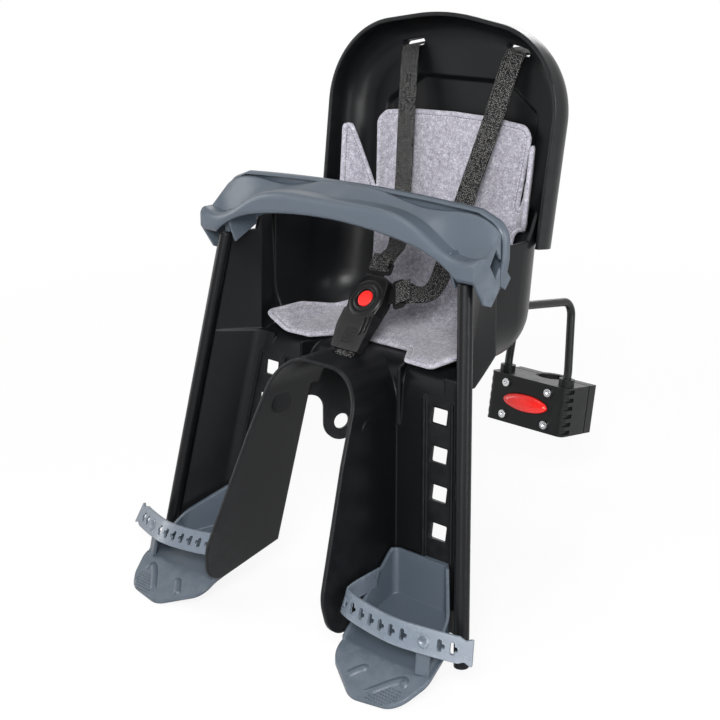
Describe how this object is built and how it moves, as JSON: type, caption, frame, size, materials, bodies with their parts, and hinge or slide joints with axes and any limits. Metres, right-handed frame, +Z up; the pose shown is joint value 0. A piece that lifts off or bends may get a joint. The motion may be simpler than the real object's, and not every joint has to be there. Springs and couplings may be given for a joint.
{
  "type": "child bike seat",
  "caption": "Bucket-shaped child seat with leg gutters, sliding footrests, harness, front bar and a bent rod that plugs into a clamp block on a bicycle's seat tube.",
  "frame": {"origin": "middle of the seat tube clamp's bore", "axes": "+Z up, the seat faces -Y, +X to the right as seen from in front of the seat"},
  "size_m": [0.474, 0.5502, 0.6172],
  "materials": {
    "shell_plastic": "moulded polypropylene, satin",
    "grey_plastic": "moulded polypropylene, satin slate grey",
    "strap_plastic": "flexible plastic, satin slate grey",
    "felt": "heathered felt over foam",
    "webbing": "woven polyester webbing",
    "black_plastic": "moulded plastic, fine texture",
    "block_plastic": "glass-filled plastic",
    "red_button": "moulded plastic, glossy",
    "coated_steel": "black powder coat, satin",
    "zinc_steel": "bright zinc",
    "spring_steel": "spring steel, bare",
    "clamp_rubber": "soft rubber"
  },
  "bodies": {
    "seat": {"seat_shell": "shell_plastic", "backrest_shell": "shell_plastic", "front_bar": "grey_plastic", "seat_liner": "felt", "shoulder_strap_left": "webbing", "shoulder_strap_right": "webbing", "crotch_strap": "webbing", "buckle_housing": "black_plastic", "buckle_back": "black_plastic", "buckle_tongue_left": "black_plastic", "buckle_tongue_right": "black_plastic", "crotch_anchor": "black_plastic", "strap_retainer_left": "black_plastic", "strap_retainer_right": "black_plastic", "carrier_bracket": "black_plastic", "block_body": "block_plastic", "clamp_half": "block_plastic", "carrier_rod": "coated_steel", "backrest_bolts": "zinc_steel", "backrest_nuts": "zinc_steel", "bracket_bolts": "zinc_steel", "bracket_nuts": "zinc_steel", "block_screws": "zinc_steel", "block_nuts": "zinc_steel", "buckle_spring": "spring_steel", "release_spring": "spring_steel", "tube_liner": "clamp_rubber"},
    "footrest_left": {"footrest_left": "grey_plastic", "foot_strap_left": "strap_plastic"},
    "footrest_right": {"footrest_right": "grey_plastic", "foot_strap_right": "strap_plastic"},
    "buckle_button": {"buckle_button": "red_button"},
    "release_button": {"release_button": "red_button", "latch_plate": "zinc_steel"}
  },
  "joints": [
    {"name": "footrest_left_slide", "type": "slide", "parent": "seat", "child": "footrest_left", "axis": [0.1369, 0.1565, 0.9781], "range_m": [0, 0.114]},
    {"name": "footrest_right_slide", "type": "slide", "parent": "seat", "child": "footrest_right", "axis": [-0.1369, 0.1565, 0.9781], "range_m": [0, 0.114]},
    {"name": "buckle_button_press", "type": "slide", "parent": "seat", "child": "buckle_button", "axis": [0, 0.788, -0.6157], "range_m": [0, 0.003], "stiffness_N_per_m": 600, "deforming": ["buckle_spring"]},
    {"name": "release_button_press", "type": "slide", "parent": "seat", "child": "release_button", "axis": [0, 0.9877, -0.1564], "range_m": [0, 0.005], "stiffness_N_per_m": 1200, "deforming": ["release_spring"]}
  ]
}
